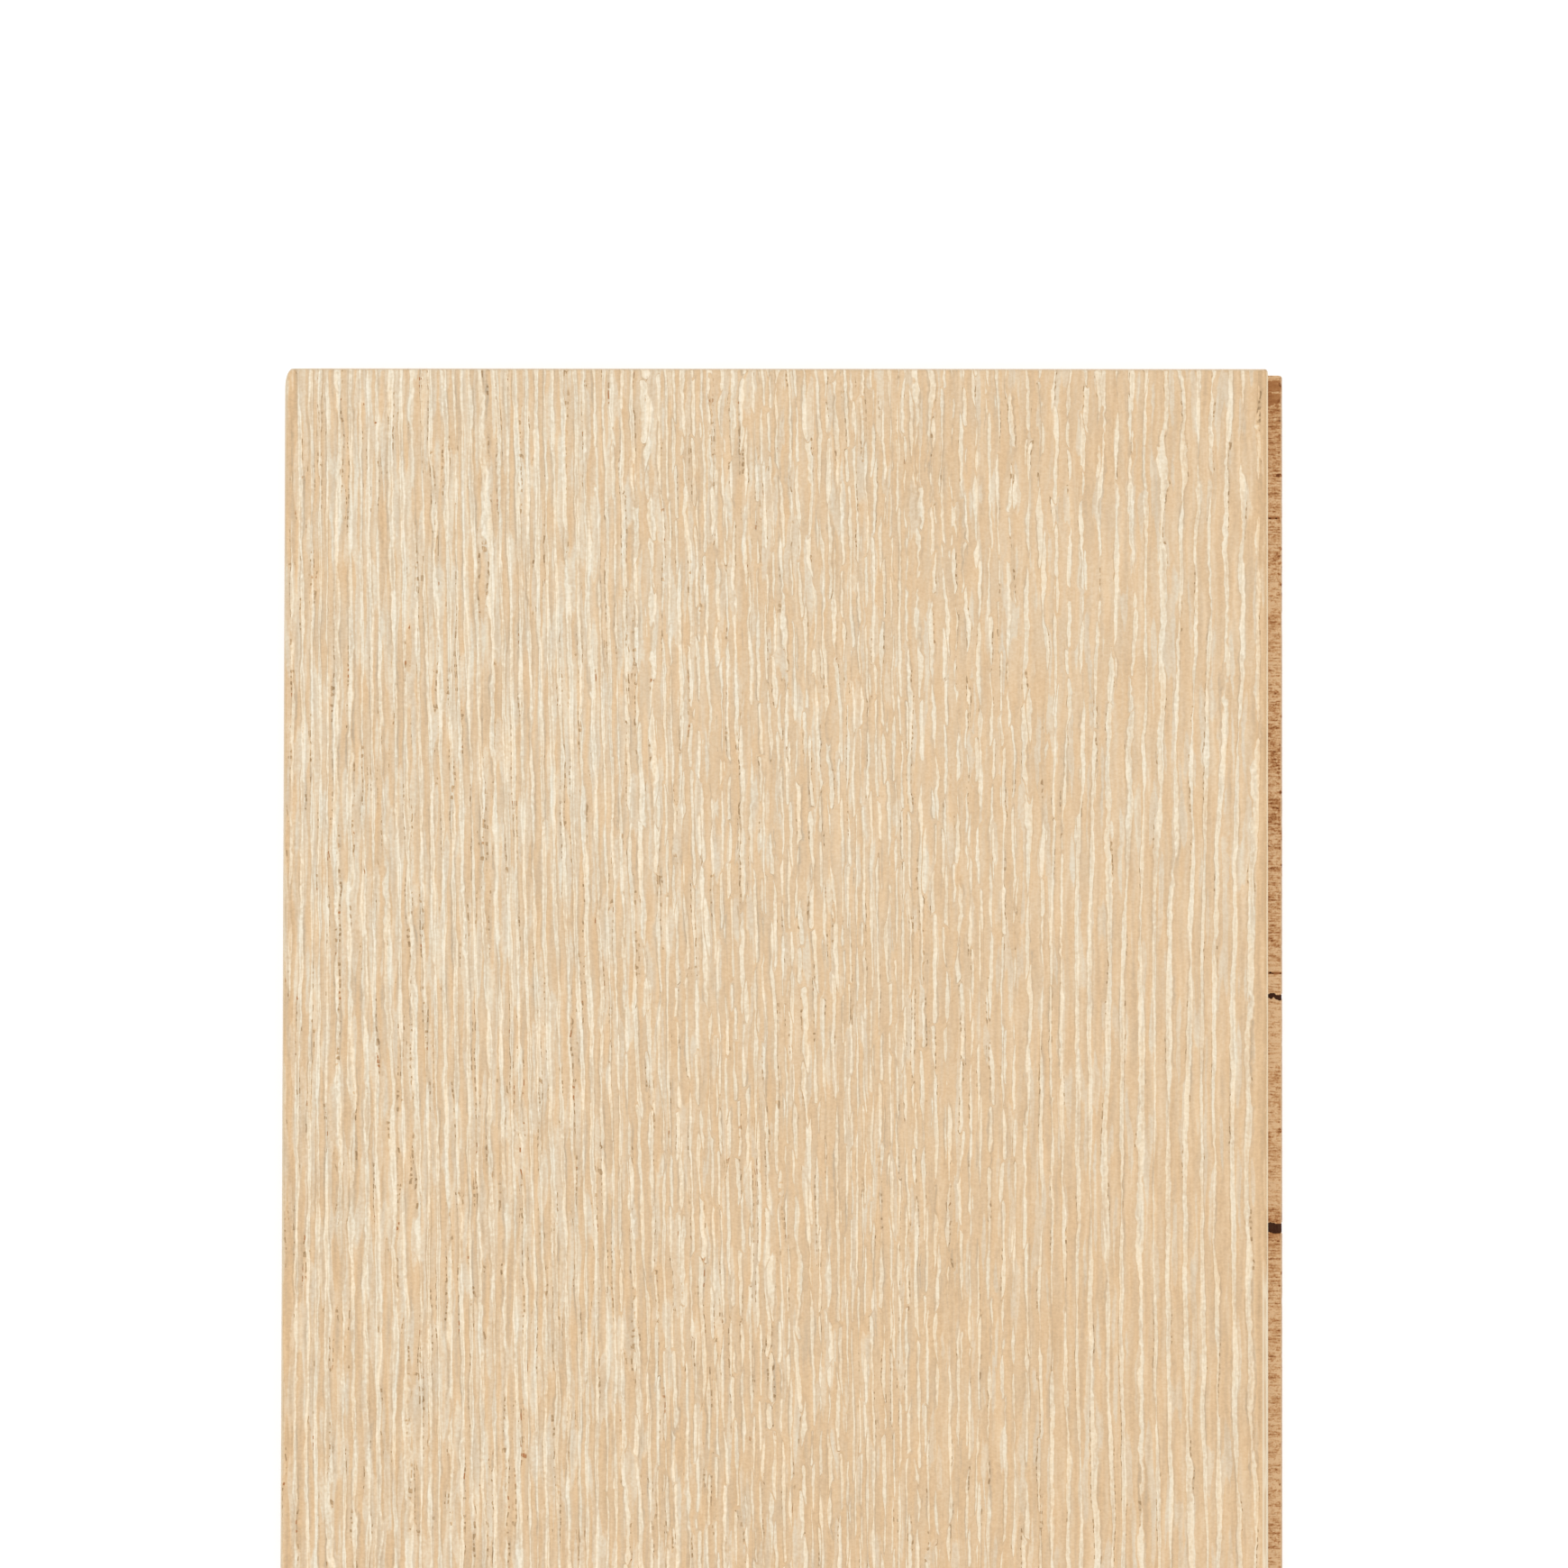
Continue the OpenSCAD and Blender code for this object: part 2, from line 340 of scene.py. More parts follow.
def build_ply(i, materials):
    """Veneer i, counted from the top: 1 to 8 and the back ply, 9."""
    zb, zt = Z_CORE - i * PLY_T, Z_CORE - (i - 1) * PLY_T
    if i == 9:
        zb = 0.0
    tongue = 2 <= i <= 5
    total = Y1 - Y0
    pieces = [(0.0, total)]
    if i == 2:
        cuts = [(p - w / 2, p + w / 2) for p, w in JOINTS]
        cuts[0] = (cuts[0][0] + 0.18, cuts[0][1] - 0.32)  # the rest of the open joint is cut below, to its own outline
        pieces, a = [], 0.0
        for c0, c1 in cuts:
            pieces.append((a, c0))
            a = c1
        pieces.append((a, total))
    bm = bmesh.new()
    for s0, s1 in pieces:
        rows, setup = [], []
        for s in strip_rows(s0, s1, tongue, 0.8 if i == 2 else (1.6 if tongue else 25.0)):
            t_in = SETBACK <= s <= total - SETBACK
            if tongue and (abs(s - SETBACK) < 1e-6 or abs(s - (total - SETBACK)) < 1e-6):
                setup += [(s, False), (s, True)] if s < total / 2 else [(s, True), (s, False)]
            else:
                setup.append((s, tongue and t_in))
        for s, with_tongue in setup:
            y = Y1 - s
            xl = X_GROOVE if tongue else X0 + corner_inset(y, CORNER_L)
            xr = X1 - corner_inset(y, CORNER_T)
            if not tongue:
                loop = [(xl, zb), (xr, zb), (xr, zt), (xl, zt)]
            else:
                if with_tongue:
                    ds = min(s - SETBACK, total - SETBACK - s)
                    cut = 0.0
                    if ds < TONGUE_R:
                        cut = TONGUE_R - math.sqrt(max(TONGUE_R ** 2 - (TONGUE_R - ds) ** 2, 0))
                    for e in (s0, s1):  # joints have lightly broken corners
                        if 1 < e < total - 1 and abs(s - e) < 0.5:
                            cut = max(cut, 0.25 * (1 - abs(s - e) / 0.5))
                    xo = X_TONGUE - cut - tongue_edge(s, 40 + i, 1.0)
                else:
                    xo = xr
                m = 1.0 if with_tongue else 0.0
                xo_top = max(xo - m * TONGUE_BEVEL * (1 + 0.25 * float(noise(s / 2.3, 3.3, 60 + i))), xr)
                if i == 2:
                    z1 = zt - FIT_GAP
                    mid = [xr + (xo_top - xr) * f for f in (0.33, 0.66)]
                    loop = [(xl, zb), (xr, zb), (xo, zb), (xo, z1 - TONGUE_BEVEL), (xo_top, z1)]
                    loop += [(mid[1], z1), (mid[0], z1), (xr, z1), (xr, zt), (xl, zt)]
                elif i == 5:
                    z1 = zb + FIT_GAP
                    loop = [(xl, zb), (xr, zb), (xr, z1), (xo_top, z1), (xo, z1 + TONGUE_BEVEL), (xo, zt), (xr, zt), (xl, zt)]
                else:
                    loop = [(xl, zb), (xr, zb), (xo, zb), (xo, zt), (xr, zt), (xl, zt)]
            rows.append([bm.verts.new((x * MM, y * MM, z * MM)) for x, z in loop])
        for r0, r1 in zip(rows, rows[1:]):
            n = len(r0)
            for k in range(n):
                j = (k + 1) % n
                try:
                    bm.faces.new((r0[k], r0[j], r1[j], r1[k]))
                except ValueError:
                    pass
        bm.faces.new(list(reversed(rows[0])))
        bm.faces.new(rows[-1])
    bmesh.ops.remove_doubles(bm, verts=bm.verts, dist=2e-7)
    bmesh.ops.dissolve_degenerate(bm, edges=bm.edges, dist=2e-7)
    bmesh.ops.recalc_face_normals(bm, faces=bm.faces)
    name = PLY_NODES[i - 1] + "_finished"
    me = bpy.data.meshes.new(name)
    bm.to_mesh(me)
    bm.free()
    for m in materials:
        me.materials.append(m)
    ob = bpy.data.objects.new(name, me)
    bpy.context.scene.collection.objects.link(ob)
    return ob


def map_ply(ob, i):
    """Map for the bake: the strips that show get the room, the glued faces a little."""
    me = ob.data
    uv = me.uv_layers.new(name="OFBake")
    zb, zt = Z_CORE - i * PLY_T, Z_CORE - (i - 1) * PLY_T
    fold = (Y1 - Y0) / FOLDS
    for p in me.polygons:
        n, c = p.normal, p.center / MM
        k = min(max(int((Y1 - c.y) / fold), 0), FOLDS - 1)
        for li in p.loop_indices:
            v = me.vertices[me.loops[li].vertex_index].co / MM
            t = min(max((v.z - zb) / (zt - zb), 0), 1)
            down = 0.01 + 0.98 * min(max((Y1 - v.y - k * fold) / fold, 0), 1)
            whole = 0.01 + 0.98 * (v.y - Y0) / (Y1 - Y0)
            across = (v.x - X0) / (X_TONGUE - X0)
            if abs(n.y) > 0.7:
                q = ((0.885 if n.y > 0 else 0.92) + 0.028 * t, 0.01 + 0.98 * across)
            elif abs(n.z) > 0.6 and c.x > X1 - 0.05:  # the tongue's top or underside
                q = (0.50 + 0.046 * k + 0.038 * min(max((v.x - X1) / (X_TONGUE - X1), 0), 1), down)
            elif abs(n.z) > 0.6:
                q = (0.51 + 0.36 * across if i == 9 and n.z < 0 else (0.955 if n.z > 0 else 0.975) + 0.012 * across, whole)
            elif n.x > 0:
                q = (0.01 + 0.03 * k + 0.022 * t, down)
            else:
                q = (0.255 + 0.03 * k + 0.022 * t, down)
            uv.data[li].uv = q


# ------------------------------------------------------------------ node helpers
class Net:
    def __init__(self, name):
        self.mat = bpy.data.materials.new(name)
        self.mat.use_nodes = True
        self.t = self.mat.node_tree
        self.t.nodes.clear()
        self.out = self.t.nodes.new("ShaderNodeOutputMaterial")
        self.bsdf = self.t.nodes.new("ShaderNodeBsdfPrincipled")
        self.t.links.new(self.bsdf.outputs[0], self.out.inputs["Surface"])
        tc = self.t.nodes.new("ShaderNodeTexCoord")
        mm = self.t.nodes.new("ShaderNodeVectorMath")
        mm.operation = "MULTIPLY"
        mm.inputs[1].default_value = (1000, 1000, 1000)
        self.t.links.new(tc.outputs["Object"], mm.inputs[0])
        self.p = mm.outputs[0]
        sep = self.t.nodes.new("ShaderNodeSeparateXYZ")
        self.t.links.new(self.p, sep.inputs[0])
        self.x, self.y, self.z = sep.outputs

    def _in(self, socket, v):
        if isinstance(v, (int, float)):
            socket.default_value = v
        elif isinstance(v, (tuple, list)):
            socket.default_value = tuple(v) if len(v) == len(socket.default_value) else tuple(v) + (1.0,)
        else:
            self.t.links.new(v, socket)

    def math(self, op, a, b=0.0, c=0.0, clamp=False):
        n = self.t.nodes.new("ShaderNodeMath")
        n.operation = op
        n.use_clamp = clamp
        for s, v in zip(n.inputs, (a, b, c)):
            self._in(s, v)
        return n.outputs[0]

    def add(self, a, b):
        return self.math("ADD", a, b)

    def sub(self, a, b):
        return self.math("SUBTRACT", a, b)

    def mul(self, a, b):
        return self.math("MULTIPLY", a, b)

    def step(self, v, a, b, to0=0.0, to1=1.0):
        """Smooth step of v from a to b."""
        n = self.t.nodes.new("ShaderNodeMapRange")
        n.interpolation_type = "SMOOTHSTEP"
        self._in(n.inputs["Value"], v)
        self._in(n.inputs["From Min"], a)
        self._in(n.inputs["From Max"], b)
        self._in(n.inputs["To Min"], to0)
        self._in(n.inputs["To Max"], to1)
        return n.outputs["Result"]

    def noise(self, sx, sy, sz, seed=0.0, detail=0.0, rough=0.5, dims="3D", warp=None):
        """Noise with one wave per sx, sy, sz millimetres, about -1..1."""
        m = self.t.nodes.new("ShaderNodeVectorMath")
        m.operation = "MULTIPLY_ADD"
        self._in(m.inputs[0], self.p if warp is None else warp)
        m.inputs[1].default_value = (1.0 / sx, 1.0 / sy, 1.0 / sz)
        m.inputs[2].default_value = (seed * 3.71, seed * 7.13, seed * 1.37)
        n = self.t.nodes.new("ShaderNodeTexNoise")
        n.noise_dimensions = dims
        n.inputs["Scale"].default_value = 1.0
        n.inputs["Detail"].default_value = detail
        n.inputs["Roughness"].default_value = rough
        self.t.links.new(m.outputs[0], n.inputs["Vector"])
        f = self.math("MULTIPLY_ADD", n.outputs[0], 2.0, -1.0)
        return f

    def attr(self, name):
        n = self.t.nodes.new("ShaderNodeAttribute")
        n.attribute_name = name
        return n.outputs["Fac"]

    def mix(self, f, a, b, kind="MIX"):
        n = self.t.nodes.new("ShaderNodeMix")
        n.data_type = "RGBA"
        n.blend_type = kind
        n.clamp_factor = True
        self._in(n.inputs["Factor"], f)
        self._in(n.inputs["A"], a)
        self._in(n.inputs["B"], b)
        return n.outputs["Result"]

    def ramp(self, value, stops):
        n = self.t.nodes.new("ShaderNodeValToRGB")
        self._in(n.inputs[0], value)
        e = n.color_ramp.elements
        for el, (pos, c) in zip((e[0], e[1]), (stops[0], stops[-1])):
            el.position, el.color = pos, tuple(c) + (1.0,)
        for pos, c in stops[1:-1]:
            e.new(pos).color = tuple(c) + (1.0,)
        return n.outputs[0]

    def bump(self, height, distance, strength=1.0):
        n = self.t.nodes.new("ShaderNodeBump")
        n.inputs["Strength"].default_value = strength
        n.inputs["Distance"].default_value = distance * MM
        self.t.links.new(height, n.inputs["Height"])
        self.t.links.new(n.outputs[0], self.bsdf.inputs["Normal"])


LIGHT = 1.36  # how bright a white surface shows under the lights below


def srgb(r, g, b):
    """Colour as seen, 0 to 255, to the surface colour that shows so."""
    out = []
    for v in (r, g, b):
        v /= 255.0
        v = v / 12.92 if v <= 0.04045 else ((v + 0.055) / 1.055) ** 2.4
        out.append(v / LIGHT)
    return tuple(out)


# ------------------------------------------------------------------ materials
def tones(rows, shift):
    """Colour ramp stops from (brightness, red, green, blue), leaning to warm (+) or grey (-)."""
    return [((v - 120.0) / 120.0, srgb(r + shift, g, b - shift)) for v, r, g, b in rows]


OAK = [(120, 147, 123, 90), (150, 177.5, 152.8, 119.7), (168, 196, 171, 137.5), (178, 207.6, 180.8, 145.7),
       (186, 216.4, 189.1, 153), (192, 220.6, 195.2, 160.8), (198, 225.7, 201.3, 168.1), (205, 229.9, 208.6, 177.2),
       (212, 234.5, 216, 186.2), (218, 239.2, 222, 193.5), (224, 243.8, 228, 200.6), (230, 248.4, 233.8, 208),
       (238, 253.5, 241.2, 218)]
OAK_BARE = [(120, 132, 92, 58), (150, 166, 122, 80), (180, 196, 154, 108), (205, 216, 180, 134), (238, 236, 208, 170)]


def limed_oak(name, bare):
    """Straight-grained oak. On the face the open pores are brushed out and filled with white
    lime; on the sawn sides and ends (bare) the wood has its own colour."""
    n = Net(name)
    left = n.step(n.x, 85.0, -80.0)  # tighter rings and more open pores towards the left
    amp = lambda l, r: n.math("MULTIPLY_ADD", left, l - r, r)
    # nothing in wood runs dead straight: small sideways jogs shared by every line
    s = n.sub(Y1, n.y)
    jog = n.step(n.mul(n.step(n.x, -60.0, 0.0), n.step(s, 150.0, 70.0)), 0.0, 1.0, 1.0, 1.35)  # more of it near the shown end
    off = n.add(n.mul(n.noise(4.5, 17.0, 4.5, 1), amp(0.42, 0.50)),
                n.add(n.mul(n.noise(2.2, 5.0, 2.2, 2), amp(0.20, 0.24)), n.mul(n.noise(1.1, 1.6, 1.1, 3), amp(0.14, 0.19))))
    # staggered strokes: on the middle of the board a line breaks off and goes on a little to one side
    stagger = n.noise(2.3, 12.0, 2.3, 33)
    mid_zone = n.mul(n.step(n.x, -55.0, -15.0), n.step(n.sub(n.x, n.mul(n.step(s, 130.0, 60.0), 22.0)), 75.0, 40.0))
    off = n.add(n.mul(off, jog), n.mul(n.step(stagger, -0.04, 0.04, -0.26, 0.26), mid_zone))
    v = n.t.nodes.new("ShaderNodeCombineXYZ")
    n.t.links.new(n.add(n.x, off), v.inputs[0])
    n.t.links.new(n.y, v.inputs[1])
    n.t.links.new(n.z, v.inputs[2])
    warp = v.outputs[0]
    spacing = n.attr("gap")
    ring = n.math("FRACT", n.add(n.attr("ring"), n.math("DIVIDE", off, spacing)))
    aside = n.mul(n.sub(ring, 0.5), spacing)
    dist = n.math("ABSOLUTE", aside)  # mm from the middle of the open-pored band
    long = lambda w, l, seed, d=0.0: n.noise(w, l, w, seed, detail=d, warp=warp)
    mid, fine, hair = long(1.45, 22.0, 6, 1.0), long(0.80, 14.0, 7, 0.4), long(0.38, 5.0, 8)
    speck = n.add(n.mul(n.noise(0.60, 1.0, 0.60, 9), 0.5), n.mul(n.noise(0.62, 0.42, 0.62, 25), 0.62))
    tone = n.noise(6.5, 90.0, 6.5, 10, detail=1.0)
    if bare:
        val = n.add(n.add(n.mul(fine, 14.0), n.mul(hair, 14.0)), n.add(n.mul(mid, 10.0), n.mul(tone, 8.0)))
        val = n.sub(n.add(val, 200.0), n.mul(n.step(dist, 0.9, 0.2), 18.0))
        dots = n.mul(n.step(n.noise(0.34, 7.0, 0.34, 14), 0.12, 0.4), n.step(dist, 0.9, 0.3))
        val = n.sub(val, n.mul(dots, 50.0))
        col = n.ramp(n.math("DIVIDE", n.sub(val, 120.0), 120.0), tones(OAK_BARE, 0))
        glue = n.step(n.sub(n.z, Z_CORE), 0.09, 0.03)
        col = n.mix(n.mul(glue, 0.8), col, srgb(96, 62, 38))
        n.t.links.new(col, n.bsdf.inputs["Base Color"])
        n.t.links.new(n.step(n.add(fine, dots), -1.0, 1.0, 0.66, 0.82), n.bsdf.inputs["Roughness"])
        n.bsdf.inputs["Specular IOR Level"].default_value = 0.3
        n.bump(n.sub(n.mul(fine, 0.4), dots), 0.06, 0.8)
        return n.mat
    broken = n.noise(1.3, 7.0, 1.3, 11)
    beads = n.noise(0.55, 0.85, 0.55, 12)
    # lime band of each ring: how far inside its edge a point lies, in mm
    width = n.add(n.attr("lime"), n.add(n.mul(long(1.6, 10.0, 13), 0.22), n.mul(long(0.7, 2.6, 14), 0.14)))
    width = n.sub(width, n.mul(n.step(n.math("ABSOLUTE", stagger), 0.07, 0.0, 0.0, 0.6), mid_zone))
    e = n.sub(width, dist)
    band = n.step(e, -0.06, 0.08)
    rim = n.mul(n.step(n.sub(e, n.mul(left, 0.07)), -0.05, 0.08), n.step(e, amp(0.46, 0.70), amp(0.30, 0.44)))
    rim = n.mul(rim, n.step(n.add(broken, n.mul(beads, 0.6)), -0.50, 0.0, n.math("MULTIPLY_ADD", mid_zone, 0.25, 0.35), 1.0))
    lean = n.noise(1.9, 30.0, 1.9, 23)
    # painted shade: a darker, greyer line along one side of each lime band, on the side that lean picks, standing in
    # for the shadow on the wall of the brushed groove
    painted_line_shade = n.mul(n.mul(n.step(e, -0.42, -0.18), n.step(e, 0.02, -0.10)), n.step(n.mul(aside, lean), -0.04, 0.04, 0.15, 1.0))
    painted_line_shade = n.mul(painted_line_shade, n.step(n.noise(1.4, 9.0, 1.4, 27), -0.30, 0.20, 0.25, 1.0))
    # second family: thinner lines between the rings, most of them on the left
    w2 = n.sub(long(1.45, 24.0, 15, 0.5), n.math("MULTIPLY_ADD", n.noise(2.4, 12.0, 2.4, 16), -0.55, n.math("MULTIPLY_ADD", mid_zone, 0.09, amp(0.01, 0.17))))
    thin = n.step(w2, 0.0, 0.12)
    thin_rim = n.mul(n.step(w2, -0.03, 0.07), n.step(w2, 0.50, 0.32))
    thin_rim = n.mul(thin_rim, n.step(n.add(broken, beads), -0.5, 0.2, 0.3, 1.0))
    # open pores: chains of short dark dots along one edge of a band
    chain = n.step(n.add(n.noise(1.5, 30.0, 1.5, 17), n.add(n.mul(n.noise(1.5, 7.0, 1.5, 22), 0.5), amp(-0.10, -0.13))), 0.06, 0.16)
    slit = n.mul(n.step(n.math("ABSOLUTE", n.add(e, 0.12)), 0.16, 0.07), n.step(n.mul(aside, lean), -0.02, 0.02))
    slit2 = n.mul(n.step(n.math("ABSOLUTE", n.add(w2, 0.03)), 0.07, 0.02), n.step(fine, 0.06, -0.08))
    slit = n.math("MAXIMUM", slit, n.mul(slit2, left))
    dots = n.step(n.noise(1.6, 0.95, 1.6, 24), 0.06, 0.24)
    pore = n.mul(n.mul(chain, slit), dots)
    # brightness, as 0 to 255
    val = n.add(n.mul(mid, amp(9.5, 11.5)), n.mul(fine, n.math("MULTIPLY_ADD", mid_zone, -5.0, amp(15.0, 15.0))))
    val = n.add(val, n.mul(tone, amp(4.5, 1.5)))
    val = n.add(val, n.mul(band, amp(8.0, 10.0)))
    val = n.add(val, n.mul(rim, n.math("MULTIPLY_ADD", beads, 8.0, n.math("MULTIPLY_ADD", mid_zone, 1.5, amp(21.0, 17.3)))))
    val = n.sub(val, n.mul(painted_line_shade, amp(13.0, 11.5)))
    val = n.add(val, n.mul(thin, amp(4.0, 4.0)))
    val = n.add(val, n.mul(thin_rim, amp(13.0, 8.5)))
    val = n.add(val, n.add(189.4, amp(-1.7, -1.9)))
    val = n.math("SMOOTH_MIN", val, amp(227.5, 224.0), 16.0)  # the lime is never brighter than this
    val = n.add(val, n.add(n.mul(hair, 3.0), n.mul(speck, n.math("MULTIPLY_ADD", rim, 4.0, amp(13.5, 12.5)))))
    val = n.sub(val, n.mul(pore, n.math("MULTIPLY_ADD", beads, 26.0, amp(45.0, 40.0))))
    # warm or grey: the plain wood is peach, the lime film and the painted shade along the edges of a line are greenish
    # grey
    patch = n.noise(3.2, 11.0, 3.2, 26, detail=1.0)
    warm = n.add(n.mul(tone, -0.10), n.add(n.mul(n.noise(1.0, 13.0, 1.0, 19, warp=warp), amp(0.90, 0.62)), n.mul(patch, amp(0.20, 0.14))))
    val = n.add(val, n.mul(patch, -1.8))
    # paler near the far end, deeper after it, and uneven further along
    deeper = n.add(n.step(s, 0.0, 60.0, -0.58, 0.0), n.add(n.step(s, 60.0, 225.0, 1.0, -1.0), n.step(s, 260.0, 900.0, 0.0, 0.8)))
    deeper = n.add(deeper, n.mul(n.noise(110.0, 210.0, 110.0, 36), n.step(s, 240.0, 400.0)))
    warm = n.sub(warm, n.add(n.mul(deeper, 0.10), n.mul(left, -0.04)))
    # lime holds the lime bands, the thin lines and part of the painted line shade, which all turn greenish grey below
    lime = n.math("MAXIMUM", n.math("MAXIMUM", band, n.mul(painted_line_shade, amp(0.85, 0.55))), n.mul(thin, 0.8))
    warm = n.add(warm, n.math("MULTIPLY_ADD", lime, amp(-0.68, -0.85), amp(0.28, 0.44)))
    warm = n.add(warm, n.add(n.mul(rim, amp(0.26, 0.38)), n.mul(pore, 1.5)))
    val = n.add(val, n.mul(deeper, 2.0))
    side_l = n.mul(n.step(n.x, X0 + 3.1, X0 + 2.3), n.step(n.x, X0 + 0.5, X0 + 1.6, 0.2, 1.0))
    side_r = n.step(n.x, X1 - 3.2, X1 - 2.0)
    warm = n.add(warm, n.add(n.mul(side_l, 0.35), n.mul(side_r, 0.75)))
    val = n.sub(val, n.add(n.mul(side_l, 6.5), n.mul(side_r, 7.5)))
    warm = n.step(warm, -1.1, 1.1)
    pos = n.math("DIVIDE", n.sub(val, 120.0), 120.0)
    col = n.mix(warm, n.ramp(pos, tones(OAK, -6.5)), n.ramp(pos, tones(OAK, 8.5)))
    rust = n.mul(n.mul(pore, left), n.step(n.noise(3.0, 4.5, 3.0, 20), 0.34, 0.5))
    col = n.mix(rust, col, srgb(182, 116, 62))
    # the worn arris: pale along the sides, with a painted highlight that makes the right-hand one paler than the left;
    # darker end grain across the ends
    drop = n.sub(Z_TOP, n.z)
    at_end = n.math("MAXIMUM", n.step(n.y, Y1 - 0.9, Y1 - 0.35), n.step(n.y, Y0 + 0.9, Y0 + 0.35))
    col = n.mix(n.mul(n.step(drop, 0.10, 0.4), 0.7), col, n.mix(at_end, n.mix(n.step(n.x, 0.0, 1.0), srgb(243, 224, 192), srgb(255, 237, 204)), srgb(231, 208, 176)))
    # lime caught along the tongue side, further along the board
    caught = n.mul(n.mul(n.step(n.x, X1 - 1.5, X1 - 1.1), n.step(s, 199.0, 205.0)), n.step(n.noise(1.2, 26.0, 1.2, 30), -0.45, -0.2))
    col = n.mix(n.mul(caught, 0.75), col, srgb(243, 229, 202))
    line = n.mul(n.mul(n.step(n.x, X1 - 1.15, X1 - 0.85), n.step(n.x, X1 - 0.42, X1 - 0.6)), n.step(n.noise(1.0, 6.0, 1.0, 21), -0.5, 0.2))
    col = n.mix(n.mul(line, 0.65), col, srgb(208, 172, 128))
    n.t.links.new(col, n.bsdf.inputs["Base Color"])
    rough = n.math("MULTIPLY_ADD", band, 0.10, n.math("MULTIPLY_ADD", fine, 0.05, 0.60))
    n.t.links.new(rough, n.bsdf.inputs["Roughness"])
    n.bsdf.inputs["Specular IOR Level"].default_value = 0.35
    h = n.add(n.mul(fine, 0.35), n.add(n.mul(speck, 0.15), n.mul(mid, 0.3)))
    h = n.sub(h, n.mul(pore, 1.2))
    h = n.sub(h, n.mul(n.math("MAXIMUM", band, thin), 0.5))
    n.bump(h, 0.07, 0.8)
    return n.mat


BROWN = [(0.0, 108, 62, 32), (0.22, 146, 91, 50), (0.40, 169, 116, 71), (0.55, 188, 138, 92),
         (0.70, 201, 156, 110), (0.85, 213, 171, 126), (1.0, 224, 187, 144)]


def core_veneer(name, cross, seed, tone_at, show_tongue=False):
    """Bare brown hardwood veneer; cross says that its grain runs across the board."""
    n = Net(name)
    if cross:
        lay = lambda a, b, s, d=0.0: n.noise(b, a, a, seed + s, detail=d)
    else:
        lay = lambda a, b, s, d=0.0: n.noise(a, b, a, seed + s, detail=d)
    line, line2, tone = lay(0.5, 7.0, 0, 1.0), lay(1.5, 22.0, 1, 1.0), lay(11.0, 60.0, 2, 1.0)
    pore = n.step(lay(0.36, 2.6, 3), 0.28, 0.5)
    blot = n.noise(1.1, 0.8, 1.1, seed + 4, detail=2.0, rough=0.62)
    speck = n.noise(0.42, 0.38, 0.42, seed + 5)
    patch = n.noise(4.0, 7.0, 4.0, seed + 6, detail=1.0)
    lined = n.step(n.noise(9.0, 16.0, 9.0, seed + 7), -0.25, 0.3)  # in places lines, in places blotches
    val = n.add(n.mul(line, n.math("MULTIPLY_ADD", lined, 0.34 if show_tongue else 0.44, 0.12)), n.mul(blot, n.math("MULTIPLY_ADD", lined, -0.26, 0.56)))
    val = n.add(val, n.add(n.mul(line2, 0.16), n.mul(patch, 0.16)))
    val = n.add(val, n.add(n.mul(tone, 0.14), n.mul(speck, 0.12)))
    val = n.add(n.sub(val, n.mul(pore, 0.22)), tone_at)
    arris = 0.0
    if show_tongue:
        s = n.sub(Y1, n.y)
        # milled fibres: short crisp patches, dark curls and pale flecks
        crisp = n.step(n.noise(2.0, 1.2, 2.0, seed + 14, detail=1.0), -0.08, 0.08, -1.0, 1.0)
        curl = n.mul(n.step(n.math("ABSOLUTE", n.noise(1.2, 0.8, 1.2, seed + 11)), 0.12, 0.03), n.step(n.noise(1.5, 1.2, 1.5, seed + 12), -0.05, 0.12))
        fleck = n.step(n.noise(0.85, 0.55, 0.85, seed + 13), 0.20, 0.34)
        rough = n.step(n.noise(6.0, 9.0, 6.0, seed + 15), -0.35, 0.35, 0.45, 1.0)
        val = n.add(val, n.mul(rough, n.sub(n.add(n.mul(crisp, 0.06), n.add(n.mul(fleck, 0.20), n.mul(speck, 0.20))), n.mul(curl, 0.27))))
        val = n.add(val, n.math("MULTIPLY_ADD", n.noise(2.4, 0.40, 2.4, seed + 16), 0.34, 0.03))
        # broad changes of tone along the tongue, where the sheets were cut from different wood
        ramp = n.ramp(n.math("DIVIDE", n.add(s, n.mul(line2, 1.2)), 240.0),
                      [(p, (v, v, v)) for p, v in TONGUE_TONES])
        val = n.add(val, n.sub(ramp, 0.5))
        # stained end of the first sheet, ragged where it stops, and a smaller stain at the open joint
        stain = n.step(n.add(s, n.mul(blot, 2.2)), 8.0, 7.2)
        stain = n.mul(stain, n.step(n.add(s, n.mul(blot, 0.8)), 1.6, 2.0))
        stain = n.mul(stain, n.math("SUBTRACT", 1.0, n.mul(n.step(n.math("ABSOLUTE", n.sub(s, 4.55)), 0.32, 0.14), n.step(blot, -0.3, 0.0))))
        val = n.add(n.mul(val, n.math("MULTIPLY_ADD", stain, -0.8, 1.0)), n.mul(stain, 0.245))
        stain2 = n.mul(n.step(n.add(s, n.mul(blot, 2.2)), 187.6, 188.8), n.math("LESS_THAN", s, 192.4))
        val = n.sub(val, n.mul(stain2, 0.20))
        # tear-out along the outer edge, and a pale worn arris
        edge = n.sub(X_TONGUE, n.x)
        arris = n.mul(n.step(n.add(edge, n.mul(speck, 0.12)), 0.52, 0.38), n.step(n.noise(1.0, 3.0, 1.0, seed + 8, detail=1.0), -0.5, -0.2))
        torn = n.mul(n.step(edge, 1.3, 0.6), n.step(n.noise(1.2, 1.0, 1.2, seed + 9), 0.26, 0.38))
        val = n.sub(val, n.mul(torn, 0.26))
